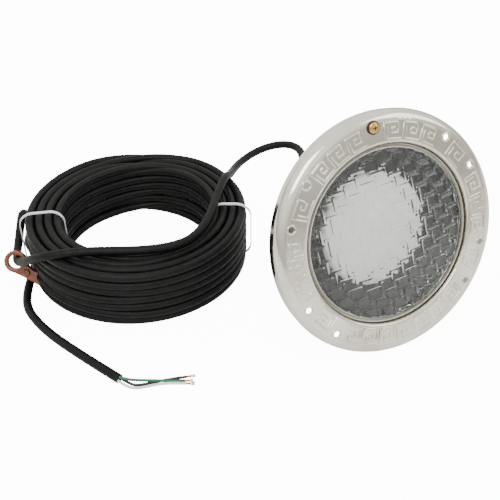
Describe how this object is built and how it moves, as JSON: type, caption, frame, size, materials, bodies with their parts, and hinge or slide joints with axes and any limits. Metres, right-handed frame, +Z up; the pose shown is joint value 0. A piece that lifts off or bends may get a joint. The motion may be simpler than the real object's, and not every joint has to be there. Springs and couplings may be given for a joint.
{
  "type": "underwater pool light",
  "caption": "Round underwater pool light with a pressed stainless face ring, a prismatic glass lens, a dished shell and a long stripped cord wound in a tied coil.",
  "frame": {"origin": "middle of the light's box on the floor it stands on, without its cord", "axes": "+Z up; the lens looks along -Y and is tipped back 20.33 degrees; +X is to the right as one faces the lens"},
  "size_m": [0.506, 0.4228, 0.253],
  "materials": {
    "ring_stainless": "polished pressed stainless steel with an embossed key pattern",
    "lens_glass": "clear tempered glass with a moulded basket weave of prisms",
    "seal_rubber": "matt black silicone rubber",
    "band_stainless": "rolled stainless strip",
    "shell_stainless": "drawn stainless steel, satin",
    "frosted_glass": "frosted blown glass",
    "brass": "turned brass",
    "tungsten": "drawn wire",
    "ceramic": "glazed porcelain",
    "zinc_steel": "zinc plated steel",
    "cutout_case": "moulded phenolic",
    "cord_jacket": "black rubber jacket with a soft sheen",
    "tie_nylon": "white nylon",
    "wedge_rubber": "amber translucent gum rubber",
    "insulation_black": "smooth insulation",
    "insulation_white": "smooth insulation",
    "insulation_green": "smooth insulation",
    "bare_copper": "bright drawn copper"
  },
  "bodies": {
    "light": {"face_ring": "ring_stainless", "lens": "lens_glass", "lens_gasket": "seal_rubber", "clamp_band": "band_stainless", "clamp_saddle": "band_stainless", "clamp_trunnion": "band_stainless", "shell": "shell_stainless", "lamp_glass": "frosted_glass", "lamp_base": "brass", "lamp_filament": "tungsten", "socket_body": "ceramic", "socket_screw_shell": "brass", "socket_contact": "brass", "socket_bracket": "zinc_steel", "bracket_screws": "zinc_steel", "thermal_cutout": "cutout_case", "ground_lug": "brass", "ground_screw": "zinc_steel", "gland_body": "brass", "gland_locknut": "brass", "gland_nut": "brass", "gland_seal": "seal_rubber", "strain_relief": "cord_jacket", "cord_entry": "cord_jacket", "cord_lead": "cord_jacket", "cord_tail": "cord_jacket", "cord_coil": "cord_jacket", "tie_left": "tie_nylon", "tie_right": "tie_nylon", "cord_wedge": "wedge_rubber", "conductor_black": "insulation_black", "conductor_white": "insulation_white", "conductor_green": "insulation_green", "copper_ends": "bare_copper", "wire_black": "insulation_black", "wire_white": "insulation_white", "wire_green": "insulation_green"},
    "pilot_carrier": {"pilot_retainer": "band_stainless", "pilot_gum_washer": "seal_rubber"},
    "pilot_screw": {"pilot_screw": "brass"},
    "clamp_bolt": {"clamp_bolt": "band_stainless"}
  },
  "joints": [
    {"name": "pilot_slide", "type": "slide", "parent": "light", "child": "pilot_carrier", "axis": [0, -0.9377, 0.3474], "range_m": [0, 0.006]},
    {"name": "pilot_turn", "type": "hinge", "parent": "pilot_carrier", "child": "pilot_screw", "pos_m": [-0.00931, -0.0239, 0.23891], "axis": [0, -0.9377, 0.3474], "continuous": true},
    {"name": "clamp_bolt_turn", "type": "hinge", "parent": "light", "child": "clamp_bolt", "pos_m": [0.0093, -0.10511, 0.01687], "axis": [0.9969, 0.0273, 0.0736], "continuous": true}
  ]
}
